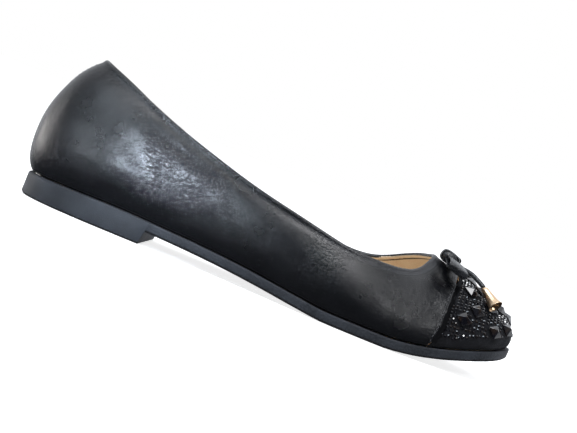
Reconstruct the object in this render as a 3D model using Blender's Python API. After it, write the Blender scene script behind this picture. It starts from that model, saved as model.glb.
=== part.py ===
"""Ballet flat for the right foot: moulded sole, insole, leather upper and suede toe cap.

Metres, +Z up. +X runs to the toe, -Y is the shoe's outer side. The heel stands on Z = 0.
"""

import math

import bmesh
import bpy
import numpy as np
from mathutils import Vector
from mathutils.bvhtree import BVHTree

# Driving sizes
LENGTH = 0.2490
BALL_WIDTH = 0.0800
BACK_HEIGHT = 0.0622
HEEL_HEIGHT = 0.0110
HEEL_LENGTH = 0.0662
SOLE_THICKNESS = 0.0050
TOE_SPRING = 0.0142
WALL = 0.0016
INSOLE_THICKNESS = 0.0020
GAP = 0.0003
HEEL_SEAT = 0.0300      # the origin, under the middle of the heel, from the heel's back edge

# Edges and steps
SOLE_EDGE = 0.0008
SOLE_CHAMFER = 0.0009
HEEL_PROUD = 0.0004
HEEL_TOP_STEP = 0.0005
BREAST_LEAN = 0.0020
BINDING_WIDTH = 0.0026
BINDING_RAISE = 0.0004
CAP_DROP = 0.0005
CAP_LENGTH = 0.0380
SEAM_BOW = 0.0018
SEAM_SWEEP = 0.0030
SEAM_SWEEP_HEIGHT = 0.0100

# Bow, tails, bells and stones
RIBBON_WIDTH = 0.0125
RIBBON_THICKNESS = 0.0011
BOW_REACH = 0.0200      # from the knot's middle to the end of a loop
BOW_SET_BACK = 0.0070   # the bow's middle, behind the cap seam
LOOP_RISE = 0.0060
KNOT_WIDTH = 0.0046
KNOT_OPENING = (0.0041, 0.0023)
KNOT_THICKNESS = 0.0009
KNOT_RISE = 0.0039
KNOT_SQUARENESS = 0.6
TAIL_DIAMETER = 0.0025
BELL_MOUTH = 0.0076
BELL_WALL = 0.0006
STONE_SIDE = 0.0060
STONE_GIRDLE = 0.0006
STONE_HEIGHT = 0.0026
STONE_TABLE = 0.0008
BOW_SLOPE = -0.27       # how the ribbon lies along the vamp at the knot

COLUMNS_PER_ROW = 4
PROFILE_SAMPLES = 60

# Underside of the sole: place along the length, lift as a share of the heel's rise, and of the toe spring
SHANK_LINE = (
    # along, heel, toe
    (0.000, 1.00, 0.00),
    (0.195, 1.15, 0.00),
    (0.274, 1.06, 0.00),
    (0.343, 0.96, 0.00),
    (0.421, 0.79, 0.00),
    (0.500, 0.53, 0.00),
    (0.579, 0.20, 0.00),
    (0.638, 0.00, 0.00),
    (0.751, 0.00, 0.00),
    (0.805, 0.00, 0.09),
    (0.864, 0.00, 0.30),
    (0.923, 0.00, 0.60),
    (1.000, 0.00, 1.00),
)

# Stations round the shoe, from the back seam along the outer side to the toe and back on the inner side.
# foot: where the upper meets the sole. top: the topline. Places along are shares of the length, places
# across and the outward handles shares of the ball width, rises and upright handles of the back height.
STATIONS = (
    # foot_x, foot_y, top_x, top_y, rise, low_out, low_up, high_out, high_down
    (0.000, 0.000, 0.052, 0.000, 1.024, 0.128, 0.120, 0.262, 0.270),
    (0.034, -0.232, 0.076, -0.130, 0.990, 0.100, 0.130, 0.215, 0.280),
    (0.122, -0.344, 0.148, -0.258, 0.890, 0.080, 0.150, 0.120, 0.300),
    (0.211, -0.358, 0.227, -0.306, 0.776, 0.062, 0.150, 0.075, 0.270),
    (0.319, -0.362, 0.331, -0.335, 0.664, 0.055, 0.150, 0.050, 0.230),
    (0.427, -0.388, 0.435, -0.362, 0.580, 0.050, 0.150, 0.050, 0.200),
    (0.532, -0.450, 0.536, -0.397, 0.539, 0.048, 0.150, 0.068, 0.180),
    (0.628, -0.505, 0.620, -0.400, 0.509, 0.044, 0.150, 0.094, 0.170),
    (0.713, -0.512, 0.685, -0.362, 0.498, 0.044, 0.150, 0.112, 0.160),
    (0.793, -0.475, 0.733, -0.269, 0.505, 0.040, 0.157, 0.150, 0.130),
    (0.869, -0.388, 0.763, -0.169, 0.540, 0.042, 0.170, 0.225, 0.100),
    (0.949, -0.245, 0.779, -0.075, 0.606, 0.055, 0.185, 0.340, 0.110),
    (0.992, 0.060, 0.788, 0.025, 0.668, 0.084, 0.190, 0.450, 0.140),
    (0.960, 0.312, 0.782, 0.119, 0.664, 0.055, 0.185, 0.350, 0.110),
    (0.886, 0.430, 0.766, 0.212, 0.648, 0.042, 0.170, 0.225, 0.100),
    (0.805, 0.475, 0.736, 0.319, 0.590, 0.040, 0.157, 0.150, 0.130),
    (0.721, 0.485, 0.685, 0.394, 0.494, 0.044, 0.150, 0.112, 0.160),
    (0.628, 0.444, 0.620, 0.412, 0.474, 0.050, 0.150, 0.075, 0.170),
    (0.532, 0.362, 0.536, 0.388, 0.492, 0.060, 0.150, 0.040, 0.180),
    (0.427, 0.310, 0.435, 0.344, 0.535, 0.065, 0.150, 0.030, 0.200),
    (0.319, 0.312, 0.331, 0.319, 0.605, 0.065, 0.150, 0.040, 0.230),
    (0.211, 0.344, 0.227, 0.300, 0.720, 0.062, 0.150, 0.075, 0.270),
    (0.122, 0.338, 0.148, 0.256, 0.860, 0.080, 0.150, 0.120, 0.300),
    (0.034, 0.230, 0.076, 0.130, 0.988, 0.100, 0.130, 0.215, 0.280),
)

# Rows up the wall, as shares of the way from the sole to the binding
OUTER_ROWS = (0.0, 0.07, 0.16, 0.28, 0.42, 0.56, 0.70, 0.85, 1.0)
INNER_ROWS = (1.0, 0.82, 0.62, 0.42, 0.24, 0.10, 0.0)
# Binding: way down from the topline as a share of its width, and its raise as a share
BINDING_ROWS = ((0.85, 0.9), (0.45, 1.0), (0.12, 0.5))

# Side of the sole from the top edge down: outward step as a share of the chamfer, height as a share
SOLE_SIDE = ((0.0, 1.0), (0.35, 0.82), (0.25, 0.22), (-1.0, 0.0))

# Middle line of the bow's ribbon, once round both loops. across and forward: shares of the reach, up:
# share of the loops' rise, width: share of the ribbon's width, slope and turn: of the width direction,
# down along the shoe and outward
BOW_LOOPS = (
    # across, forward, up, width, slope, turn
    (0.00, 0.000, 0.75, 0.42, -0.27, 0.00),
    (-0.33, 0.090, 0.62, 0.64, -0.28, 0.00),
    (-0.68, 0.190, 0.44, 0.82, -0.30, 0.02),
    (-0.96, 0.215, 0.09, 0.86, -0.30, 0.03),
    (-0.68, 0.190, -0.22, 0.82, -0.30, 0.02),
    (-0.33, 0.080, 0.25, 0.60, -0.28, 0.00),
    (0.00, 0.000, 0.50, 0.42, -0.27, 0.00),
    (0.30, 0.035, 0.38, 0.60, -0.24, 0.12),
    (0.52, 0.090, 0.40, 0.72, -0.20, 0.20),
    (0.68, 0.140, 0.72, 0.74, -0.20, 0.25),
    (0.50, 0.080, 1.02, 0.72, -0.20, 0.20),
    (0.26, 0.020, 0.90, 0.58, -0.24, 0.10),
)

# Tails from the knot to the bells, each with its bell's mouth as the last row. ahead: of the cap seam,
# share of the cap's length; across: share of the ball width; above: the upper, share of the loops' rise
TAILS = {
    "outer": (
        # ahead, across, above
        (-0.040, -0.025, 0.54),
        (0.060, -0.050, 0.86),
        (0.150, -0.084, 1.04),
        (0.240, -0.110, 1.06),
        (0.322, -0.131, 1.04),
        (0.535, -0.206, 1.14),
    ),
    "inner": (
        (-0.040, 0.047, 0.50),
        (0.030, 0.085, 0.60),
        (0.100, 0.130, 0.62),
        (0.165, 0.178, 0.66),
        (0.220, 0.222, 0.72),
        (0.430, 0.345, 1.20),
    ),
}

# Outside of a bell: way down its length, radius as a share of the mouth's
BELL_PROFILE = ((0.0, 0.42), (0.22, 0.49), (0.48, 0.59), (0.72, 0.70), (0.88, 0.82), (0.96, 0.95), (1.0, 1.0))

# Rows of large stones along the cap. across: share of the shoe's half width beside the first stone,
# first: share of the cap's length, as is the step from stone to stone
STONE_STEP = 0.295
STONE_ROWS = (
    # across, first, count
    (-0.838, 0.205, 1),
    (-0.666, 0.335, 2),
    (-0.324, 0.205, 3),
    (-0.035, 0.350, 2),
    (0.225, 0.205, 3),
    (0.496, 0.350, 2),
    (0.709, 0.215, 2),
    (0.942, 0.345, 1),
)

COLOURS = {
    # colour, roughness, metallic
    "leather": ((0.017, 0.018, 0.021), 0.42, 0.0),
    "suede": ((0.008, 0.008, 0.010), 0.92, 0.0),
    "rubber": ((0.045, 0.048, 0.055), 0.62, 0.0),
    "sock": ((0.560, 0.370, 0.200), 0.70, 0.0),
    "gold": ((0.800, 0.560, 0.300), 0.22, 1.0),
    "jet": ((0.006, 0.006, 0.008), 0.08, 0.0),
}


def clear_scene():
    for item in list(bpy.data.objects):
        bpy.data.objects.remove(item, do_unlink=True)


def finish(name, colour_name):
    """A Principled material for one piece."""
    colour, roughness, metallic = COLOURS[colour_name]
    material = bpy.data.materials.new(name + "_finish")
    material.use_nodes = True
    shader = material.node_tree.nodes["Principled BSDF"]
    shader.inputs["Base Color"].default_value = (*colour, 1.0)
    shader.inputs["Roughness"].default_value = roughness
    shader.inputs["Metallic"].default_value = metallic
    return material


def add_piece(name, bm, colour_name, smooth_angle=40.0):
    """Turns a bmesh into a named object with its own material, the origin under the heel."""
    bmesh.ops.translate(bm, verts=bm.verts[:], vec=(-HEEL_SEAT, 0.0, 0.0))
    bmesh.ops.triangulate(bm, faces=bm.faces[:])
    bmesh.ops.recalc_face_normals(bm, faces=bm.faces[:])
    mesh = bpy.data.meshes.new(name)
    bm.to_mesh(mesh)
    bm.free()
    mesh.shade_smooth()
    mesh.set_sharp_from_angle(angle=math.radians(smooth_angle))
    piece = bpy.data.objects.new(name, mesh)
    bpy.context.scene.collection.objects.link(piece)
    piece.data.materials.append(finish(name, colour_name))
    return piece


def level_curve(places, values, at):
    """Smooth curve through a table that never overshoots, so flat stretches stay flat."""
    places = np.asarray(places)
    values = np.asarray(values)
    steps = np.diff(places)
    slopes = np.diff(values) / steps
    tangents = np.zeros(len(places))
    for i in range(1, len(places) - 1):
        if slopes[i - 1] * slopes[i] > 0:
            tangents[i] = 2.0 * slopes[i - 1] * slopes[i] / (slopes[i - 1] + slopes[i])
    tangents[0] = slopes[0]
    tangents[-1] = slopes[-1]
    at = np.clip(at, places[0], places[-1])
    i = np.clip(np.searchsorted(places, at, side="right") - 1, 0, len(steps) - 1)
    s = (at - places[i]) / steps[i]
    return (
        values[i] * (1 + 2 * s) * (1 - s) ** 2
        + values[i + 1] * s**2 * (3 - 2 * s)
        + steps[i] * s * (1 - s) * (tangents[i] * (1 - s) - tangents[i + 1] * s)
    )


def closed_curve(rows, per_row):
    """Smooth closed curve through the rows, with per_row points for each."""
    rows = np.asarray(rows, dtype=float)
    count = len(rows)
    matrix = 4.0 * np.eye(count) + np.roll(np.eye(count), 1, axis=0) + np.roll(np.eye(count), -1, axis=0)
    tangents = np.linalg.solve(matrix, 3.0 * (np.roll(rows, -1, axis=0) - np.roll(rows, 1, axis=0)))
    points = []
    for i in range(count):
        j = (i + 1) % count
        for k in range(per_row):
            s = k / per_row
            points.append(
                rows[i] * (1 + 2 * s) * (1 - s) ** 2
                + rows[j] * s**2 * (3 - 2 * s)
                + tangents[i] * s * (1 - s) ** 2
                - tangents[j] * s**2 * (1 - s)
            )
    return np.array(points)


def underside(x):
    """Height of the sole's underside, the heel left out."""
    table = np.array(SHANK_LINE)
    heel_rise = HEEL_HEIGHT - SOLE_THICKNESS
    along = np.asarray(x) / LENGTH
    heel_part = level_curve(table[:, 0], table[:, 1], along) * heel_rise
    toe_part = level_curve(table[:, 0], table[:, 2], along) * TOE_SPRING
    return heel_part + toe_part


def sole_top(x):
    return underside(x) + SOLE_THICKNESS


def plan_normals(points):
    """Outward unit normals of a closed plan curve that runs anticlockwise."""
    tangent = np.roll(points, -1, axis=0) - np.roll(points, 1, axis=0)
    normal = np.stack([tangent[:, 1], -tangent[:, 0]], axis=1)
    return normal / np.linalg.norm(normal, axis=1)[:, None]


def outline():
    """Columns round the shoe: foot line, topline and the handles of each column's curve."""
    table = closed_curve(STATIONS, COLUMNS_PER_ROW)
    foot = table[:, 0:2] * (LENGTH, BALL_WIDTH)
    top = table[:, 2:4] * (LENGTH, BALL_WIDTH)
    handles = table[:, 5:9] * (BALL_WIDTH, BACK_HEIGHT, BALL_WIDTH, BACK_HEIGHT)
    foot_z = sole_top(foot[:, 0]) + GAP
    top_z = sole_top(top[:, 0]) + table[:, 4] * BACK_HEIGHT
    return foot, foot_z, top, top_z, handles


def wall_grid(shares):
    """Points and normals of the upper's outer surface at shares of each column's length.

    The shares are an array, columns by rows.
    """
    foot, foot_z, top, top_z, handles = outline()
    foot_out = plan_normals(foot)
    top_out = plan_normals(top)
    start = np.column_stack([foot, foot_z])
    end = np.column_stack([top, top_z])
    low = start + np.column_stack([foot_out * handles[:, 0:1], handles[:, 1]])
    high = end + np.column_stack([top_out * handles[:, 2:3], -handles[:, 3]])
    s = np.linspace(0.0, 1.0, PROFILE_SAMPLES)[None, :, None]
    curve = (
        start[:, None] * (1 - s) ** 3
        + low[:, None] * 3 * s * (1 - s) ** 2
        + high[:, None] * 3 * s**2 * (1 - s)
        + end[:, None] * s**3
    )
    run = np.linalg.norm(np.diff(curve, axis=1), axis=2)
    run = np.concatenate([np.zeros((len(run), 1)), np.cumsum(run, axis=1)], axis=1)
    around = np.roll(curve, -1, axis=0) - np.roll(curve, 1, axis=0)
    up = np.gradient(curve, axis=1)
    normal = np.cross(around, up)
    normal[:, 0, 2] = 0.0
    normal /= np.linalg.norm(normal, axis=2)[:, :, None]
    wanted = shares(run[:, -1])
    points = np.empty(wanted.shape + (3,))
    normals = np.empty(wanted.shape + (3,))
    for i in range(len(run)):
        for axis in range(3):
            points[i, :, axis] = np.interp(wanted[i], run[i], curve[i, :, axis])
            normals[i, :, axis] = np.interp(wanted[i], run[i], normal[i, :, axis])
    normals /= np.linalg.norm(normals, axis=2)[:, :, None]
    return points, normals


def wall_section():
    """Ways up the column, from the sole, and offsets, for each row round the wall's section."""
    body = [(share, 0.0, 0.0, 0.0) for share in OUTER_ROWS]
    outer_bead = [(1.0, 1.0 - way, raised, 0.0) for way, raised in BINDING_ROWS]
    top = [(1.0, 1.0, 0.0, 0.3), (1.0, 1.0, 0.0, 0.7)]
    inner_bead = [(1.0, 1.0 - way, -raised, 1.0) for way, raised in reversed(BINDING_ROWS)]
    lining = [(share, 0.0, 0.0, 1.0) for share in INNER_ROWS]
    return body + outer_bead + top + inner_bead + lining


def wall_mesh(drop):
    """The whole hollow upper as one closed wall, its outer face lowered by drop."""
    section = np.array(wall_section())

    def shares(lengths):
        body_length = (lengths - BINDING_WIDTH)[:, None]
        return section[None, :, 0] * body_length + section[None, :, 1] * BINDING_WIDTH

    points, normals = wall_grid(shares)
    inward = section[:, 3] * WALL
    raised = section[:, 2] * BINDING_RAISE
    lowered = np.where(section[:, 3] == 0.0, drop, 0.0)
    grid = points + normals * (raised - inward - lowered)[None, :, None]
    bm = bmesh.new()
    verts = [[bm.verts.new(point) for point in column] for column in grid]
    count = len(verts)
    rows = len(section)
    for i in range(count):
        j = (i + 1) % count
        for k in range(rows):
            n = (k + 1) % rows
            bm.faces.new((verts[i][k], verts[j][k], verts[j][n], verts[i][n]))
    return bm


def seam_shift(point):
    """How far the cap seam lies behind its middle at this place."""
    across = point.y / (BALL_WIDTH / 2)
    height = point.z - sole_top(LENGTH - CAP_LENGTH)
    sweep = max(0.0, 1.0 - height / SEAM_SWEEP_HEIGHT)
    return SEAM_BOW * across**2 + SEAM_SWEEP * sweep**2


def cut_at(bm, place, keep_front, shift):
    """Cuts a closed mesh across at a place along the length and closes the cut."""
    for vert in bm.verts:
        vert.co.x += shift(vert.co)
    cut = bmesh.ops.bisect_plane(
        bm,
        geom=bm.verts[:] + bm.edges[:] + bm.faces[:],
        dist=1e-7,
        plane_co=(place, 0.0, 0.0),
        plane_no=(1.0, 0.0, 0.0),
        clear_inner=keep_front,
        clear_outer=not keep_front,
    )
    edges = [item for item in cut["geom_cut"] if isinstance(item, bmesh.types.BMEdge)]
    bmesh.ops.triangle_fill(bm, edges=edges, use_beauty=True, normal=(1.0, 0.0, 0.0))
    for vert in bm.verts:
        vert.co.x -= shift(vert.co)
    return bm


def plate_mesh(outlines, heights):
    """A plate closed by rungs across it, from outlines and heights listed from the top down."""
    bm = bmesh.new()
    rings = []
    for ring, level in zip(outlines, heights):
        rings.append([bm.verts.new((x, y, z)) for (x, y), z in zip(ring, level)])
    count = len(rings[0])
    for upper, lower in zip(rings, rings[1:]):
        for i in range(count):
            j = (i + 1) % count
            bm.faces.new((upper[i], lower[i], lower[j], upper[j]))
    for ring in (rings[0], rings[-1]):
        for i in range(1, count // 2 - 1):
            bm.faces.new((ring[i], ring[i + 1], ring[count - i - 1], ring[count - i]))
        bm.faces.new((ring[0], ring[1], ring[count - 1]))
        bm.faces.new((ring[count // 2], ring[count // 2 + 1], ring[count // 2 - 1]))
    return bm


def offset_outline(amount):
    foot = outline()[0]
    return foot + plan_normals(foot) * amount


def add_outsole():
    """Sole with its arch and toe spring, joined with the heel that stands a little proud of it."""
    rings = [offset_outline(SOLE_EDGE + step * SOLE_CHAMFER) for step, share in SOLE_SIDE]
    levels = [
        underside(ring[:, 0]) + share * SOLE_THICKNESS for ring, (step, share) in zip(rings, SOLE_SIDE)
    ]
    sole = add_piece("outsole", plate_mesh(rings, levels), "rubber")
    block_rings = [
        offset_outline(SOLE_EDGE + HEEL_PROUD),
        offset_outline(SOLE_EDGE + HEEL_PROUD),
        offset_outline(SOLE_EDGE + HEEL_PROUD - SOLE_CHAMFER),
    ]
    block_levels = [
        sole_top(block_rings[0][:, 0]) - HEEL_TOP_STEP,
        np.full(len(block_rings[0]), SOLE_CHAMFER),
        np.zeros(len(block_rings[0])),
    ]
    block = plate_mesh(block_rings, block_levels)

    def lean(point):
        return -BREAST_LEAN * point.z / HEEL_HEIGHT

    cut_at(block, HEEL_LENGTH - BREAST_LEAN, False, lean)
    heel = add_piece("heel_block", block, "rubber")
    join = sole.modifiers.new("heel", "BOOLEAN")
    join.operation = "UNION"
    join.object = heel
    heel.hide_render = True
    heel.display_type = "WIRE"
    return sole


def add_insole():
    rim = offset_outline(-WALL - 2.0 * GAP)
    levels = [sole_top(rim[:, 0]) + GAP + INSOLE_THICKNESS, sole_top(rim[:, 0]) + GAP]
    return add_piece("insole", plate_mesh([rim, rim], levels), "sock")


def add_upper():
    seam = LENGTH - CAP_LENGTH
    add_piece("upper", cut_at(wall_mesh(0.0), seam, False, seam_shift), "leather")
    add_piece("toe_cap", cut_at(wall_mesh(CAP_DROP), seam + GAP, True, seam_shift), "suede")


def outer_tree(drop):
    """Search tree of the upper's wall, for what lies on it."""
    bm = wall_mesh(drop)
    bmesh.ops.recalc_face_normals(bm, faces=bm.faces[:])
    tree = BVHTree.FromBMesh(bm)
    bm.free()
    return tree


def above(tree, x, y, rise=0.0):
    """The place on the wall under a point, seen from above, and the wall's normal there."""
    place, normal = tree.ray_cast(Vector((x, y, 2.0 * BACK_HEIGHT)), Vector((0.0, 0.0, -1.0)))[:2]
    return place + Vector((0.0, 0.0, rise)), normal


def ring_mesh(sections):
    """Joins equal sections, each a list of points, into one closed ring."""
    bm = bmesh.new()
    rings = [[bm.verts.new(point) for point in section] for section in sections]
    count = len(rings[0])
    for i, ring in enumerate(rings):
        other = rings[(i + 1) % len(rings)]
        for k in range(count):
            n = (k + 1) % count
            bm.faces.new((ring[k], other[k], other[n], ring[n]))
    return bm


def ribbon_section(centre, along, side, width, thickness):
    """Six-sided section of a strip: flat faces with a point at each edge."""
    face = along.cross(side).normalized()
    half = width / 2
    edge = half - thickness / 2
    corners = ((-half, 0.0), (-edge, 0.5), (edge, 0.5), (half, 0.0), (edge, -0.5), (-edge, -0.5))
    return [centre + side * a + face * (b * thickness) for a, b in corners]


def add_bow(tree):
    """The two loops as one ring of ribbon, and the wrap round its middle."""
    middle_x = LENGTH - CAP_LENGTH - BOW_SET_BACK
    seat = above(tree, middle_x, 0.0)[0]
    rows = closed_curve(BOW_LOOPS, COLUMNS_PER_ROW)
    centres = [
        seat + Vector((forward * BOW_REACH, across * BOW_REACH, up * LOOP_RISE))
        for across, forward, up in rows[:, :3]
    ]
    sections = []
    for i, (width, slope, turn) in enumerate(rows[:, 3:]):
        along = (centres[(i + 1) % len(rows)] - centres[i - 1]).normalized()
        side = Vector((1.0, -turn, slope))
        side = (side - along * side.dot(along)).normalized()
        sections.append(ribbon_section(centres[i], along, side, width * RIBBON_WIDTH, RIBBON_THICKNESS))
    add_piece("bow_loops", ring_mesh(sections), "leather")

    wrap = []
    turns = 28
    centre = seat + Vector((0.0, 0.0, KNOT_RISE))
    side = Vector((1.0, 0.0, BOW_SLOPE)).normalized()
    face = Vector((-side.z, 0.0, side.x))
    for i in range(turns):
        angle = 2 * math.pi * i / turns
        out = side * math.cos(angle) + face * math.sin(angle)
        wide = math.copysign(abs(math.cos(angle)) ** KNOT_SQUARENESS, math.cos(angle))
        high = math.copysign(abs(math.sin(angle)) ** KNOT_SQUARENESS, math.sin(angle))
        inner = side * (KNOT_OPENING[0] * wide) + face * (KNOT_OPENING[1] * high)
        along = Vector((0.0, 1.0, 0.0))
        half = KNOT_WIDTH / 2
        shape = ((-1.0, 0.0), (-1.0, 0.55), (-0.6, 0.95), (0.0, 1.1), (0.6, 0.95), (1.0, 0.55), (1.0, 0.0))
        wrap.append([centre + inner + along * (a * half) + out * (b * KNOT_THICKNESS) for a, b in shape])
    add_piece("bow_knot", ring_mesh(wrap), "leather")


def turned_mesh(start, end, profile, sides=20):
    """A turned piece from start to end; the profile runs from the axis round to the axis again."""
    axis = end - start
    turn = Vector((0.0, 0.0, 1.0)).rotation_difference(axis).to_matrix()
    bm = bmesh.new()
    rings = []
    for way, radius in profile:
        if radius == 0.0:
            rings.append([bm.verts.new(start + axis * way)])
            continue
        angles = [2 * math.pi * k / sides for k in range(sides)]
        ring = [turn @ Vector((radius * math.cos(a), radius * math.sin(a), 0.0)) for a in angles]
        rings.append([bm.verts.new(start + axis * way + offset) for offset in ring])
    for ring, other in zip(rings, rings[1:]):
        for k in range(sides):
            n = (k + 1) % sides
            corners = [ring[k % len(ring)], ring[n % len(ring)], other[n % len(other)], other[k % len(other)]]
            unique = list(dict.fromkeys(corners))
            bm.faces.new(unique)
    return bm


def add_tails(vamp, cap):
    """Two rolled leather tails out of the knot, each with a bell on its end."""
    seam = LENGTH - CAP_LENGTH
    for name, rows in TAILS.items():
        points = []
        for ahead, across, rise in rows:
            tree = vamp if ahead < 0.0 else cap
            points.append(above(tree, seam + ahead * CAP_LENGTH, across * BALL_WIDTH, rise * LOOP_RISE)[0])
        mouth = points.pop()
        neck = points[-1]
        axis = (mouth - neck).normalized()
        points[-1:] = [neck - axis * (TAIL_DIAMETER / 2), neck]
        add_tube("bow_tail_" + name, smooth_route(points), TAIL_DIAMETER, "leather")
        start = neck + axis * (1.5 * GAP)
        length = (mouth - start).length
        outer = [(way, radius * BELL_MOUTH / 2) for way, radius in BELL_PROFILE]
        wall = BELL_WALL / length
        inner = [(way, radius - BELL_WALL) for way, radius in reversed(outer[1:])]
        profile = [(0.0, 0.0)] + outer + inner + [(outer[1][0] - wall, 0.0)]
        add_piece("tail_bell_" + name, turned_mesh(start, mouth, profile), "gold")


def smooth_route(points, steps=4):
    """Points of a smooth open curve through the route's own points."""
    ends = [points[0] * 2 - points[1]] + list(points) + [points[-1] * 2 - points[-2]]
    route = []
    for a, b, c, d in zip(ends, ends[1:], ends[2:], ends[3:]):
        for k in range(steps):
            s = k / steps
            route.append(
                b
                + (c - a) * (0.5 * s)
                + (a * 2 - b * 5 + c * 4 - d) * (0.5 * s**2)
                + (b * 3 - a - c * 3 + d) * (0.5 * s**3)
            )
    return route + [points[-1]]


def add_tube(name, points, diameter, colour_name):
    curve = bpy.data.curves.new(name, "CURVE")
    curve.dimensions = "3D"
    curve.bevel_depth = diameter / 2
    curve.bevel_resolution = 2
    curve.use_fill_caps = True
    spline = curve.splines.new("POLY")
    spline.points.add(len(points) - 1)
    for target, point in zip(spline.points, points):
        target.co = (point.x - HEEL_SEAT, point.y, point.z, 1.0)
    piece = bpy.data.objects.new(name, curve)
    bpy.context.scene.collection.objects.link(piece)
    curve.materials.append(finish(name, colour_name))
    return piece


def stone_mesh(seat, normal):
    """Square pyramid with a low girdle and a small flat top, one corner pointing forward."""
    forward = (Vector((1.0, 0.0, 0.0)) - normal * normal.x).normalized()
    side = normal.cross(forward)
    half = STONE_SIDE / math.sqrt(2.0)
    levels = ((half, 0.0), (half, STONE_GIRDLE), (STONE_TABLE / 2, STONE_HEIGHT))
    bm = bmesh.new()
    rings = []
    for reach, height in levels:
        corners = (forward, side, -forward, -side)
        base = seat + normal * (1.5 * GAP + height)
        rings.append([bm.verts.new(base + corner * reach) for corner in corners])
    bm.faces.new(rings[0][::-1])
    bm.faces.new(rings[-1])
    for lower, upper in zip(rings, rings[1:]):
        for k in range(4):
            n = (k + 1) % 4
            bm.faces.new((lower[k], lower[n], upper[n], upper[k]))
    return bm


def half_width(x, side):
    """Distance from the middle line to the foot line, on the outer (-1) or inner (1) side."""
    foot = outline()[0]
    foot = foot[foot[:, 1] * side > 0.0]
    foot = foot[np.argsort(foot[:, 0])]
    return float(np.interp(x, foot[:, 0], np.abs(foot[:, 1])))


def add_stones(cap):
    number = 0
    for across, first, count in STONE_ROWS:
        seam = LENGTH - CAP_LENGTH
        y = across * half_width(seam + first * CAP_LENGTH, math.copysign(1.0, across))
        for k in range(count):
            number += 1
            seat, normal = above(cap, seam + (first + k * STONE_STEP) * CAP_LENGTH, y)
            add_piece(f"stone_{number:02d}", stone_mesh(seat, normal), "jet", smooth_angle=10.0)


clear_scene()
vamp_tree = outer_tree(0.0)
cap_tree = outer_tree(CAP_DROP)
add_bow(vamp_tree)
add_tails(vamp_tree, cap_tree)
add_stones(cap_tree)
add_outsole()
add_insole()
add_upper()
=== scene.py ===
import math
import random

import bmesh
import bpy
import numpy as np
from mathutils import Matrix, Vector
from mathutils.bvhtree import BVHTree
from mathutils.kdtree import KDTree


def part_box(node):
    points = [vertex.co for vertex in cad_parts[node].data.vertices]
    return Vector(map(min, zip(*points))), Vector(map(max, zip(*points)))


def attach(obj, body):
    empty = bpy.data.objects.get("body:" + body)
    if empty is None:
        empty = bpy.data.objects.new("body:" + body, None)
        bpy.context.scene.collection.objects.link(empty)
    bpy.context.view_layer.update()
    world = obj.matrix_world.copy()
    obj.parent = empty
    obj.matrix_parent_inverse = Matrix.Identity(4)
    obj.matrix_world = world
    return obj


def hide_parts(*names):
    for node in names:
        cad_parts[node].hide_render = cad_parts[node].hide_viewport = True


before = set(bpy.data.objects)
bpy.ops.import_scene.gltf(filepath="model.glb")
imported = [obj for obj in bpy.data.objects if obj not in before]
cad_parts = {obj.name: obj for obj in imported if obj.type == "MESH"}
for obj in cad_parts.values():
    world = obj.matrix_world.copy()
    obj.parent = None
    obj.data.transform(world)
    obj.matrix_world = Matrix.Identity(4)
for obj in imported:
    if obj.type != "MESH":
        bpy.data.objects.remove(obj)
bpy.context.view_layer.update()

# Camera, fitted to the photograph: the picture is rolled and the lens looks a little down
VIEW_AZIMUTH = math.radians(1.52)
VIEW_ELEVATION = math.radians(2.51)
VIEW_ROLL = math.radians(22.27)
VIEW_DISTANCE = 0.6803
VIEW_TARGET = Vector((0.095, 0.0, 0.030))
AIM_RIGHT = 0.00214
AIM_UP = 0.00753
LENS = 87.35

# Sizes that the finishing shares with the shoe
BINDING_WIDTH = 0.0026
BINDING_RAISE = 0.0004
SEAM_MIDDLE = 0.181      # where the cap seam crosses the shoe's middle
CAP_GAP = 0.0003         # between the quarters' front edge and the cap
SOCKET_HEIGHT = 0.012    # of the middle that rays are aimed at, round the toe
RAY_REACH = 0.12         # where they start, well outside the shoe
INSIDE_BACK = -0.012     # ends of the line through the middle of the foot
INSIDE_FRONT = 0.170
INSIDE_HEIGHT = 0.014
INNER_FACING = -0.6      # how squarely a face looks at that line to be lining

# How the leather lies
LEAN_DEPTH = 0.0011      # how far the collar draws the leather in, and from how far below it
LEAN_REACH = 0.016
CALM_REACH = 0.004       # below the binding, over which the creases come in
SWELL_DEPTH = 0.00016

# Fine trim
KNOT_SHIFT = Vector((0.0, -0.0006, 0.0))
KNOT_TURN = math.radians(15.0)
KNOT_PAD = (0.0047, 0.0034, 0.0031)
CRYSTAL_WIDTH = 0.0015
CRYSTAL_HEIGHT = 0.0007
CRYSTAL_PITCH = 0.00200
CRYSTAL_TILT = 0.22      # of a crystal's axis, share of its length
BORDER_RISE = 0.0066     # the lowest row of crystals above the cap's lower edge
STONE_REACH = 0.0053     # from a large stone's middle, along its diagonals, that stays free of crystals
CRYSTAL_SINK = 0.00005
STITCH_LENGTH = 0.0017
STITCH_GAP = 0.0007
STITCH_SINK = 0.00010
THREAD = 0.00042
SEAM_ROW_INSET = 0.0015  # the cap seam's stitches, behind the quarters' front edge
BACK_ROW_SIDE = 0.0019   # the back seam's two rows, from the shoe's middle
BACK_ROW_TOP = 0.0710
BACK_ROW_FOOT = 0.0420
EDGE_INSET = 0.0001      # the painted edge, behind the leather's own
EDGE_RADIUS = 0.0002
SHADE_CORD_INSET = 0.0012   # the cords of painted shade under the cap seam are laid from here
SHADE_CORD_DEPTH = 0.0010
SHADE_CORD_RADIUS = 0.0007
SHADE_CORD_ROWS = (("seam_shade", 0.0013), ("seam_shade_middle", 0.0020), ("seam_shade_front", 0.0027))
GLUE_HEIGHT = 0.0117     # of the bead squeezed out at the back of the heel
GLUE_START = 208.0       # its angle round the heel, and the step from point to point
GLUE_STEP = 3.5
GLUE_POINTS = 9
GLUE_SINK = 0.0001
GLUE_RADIUS = 0.0004


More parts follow.
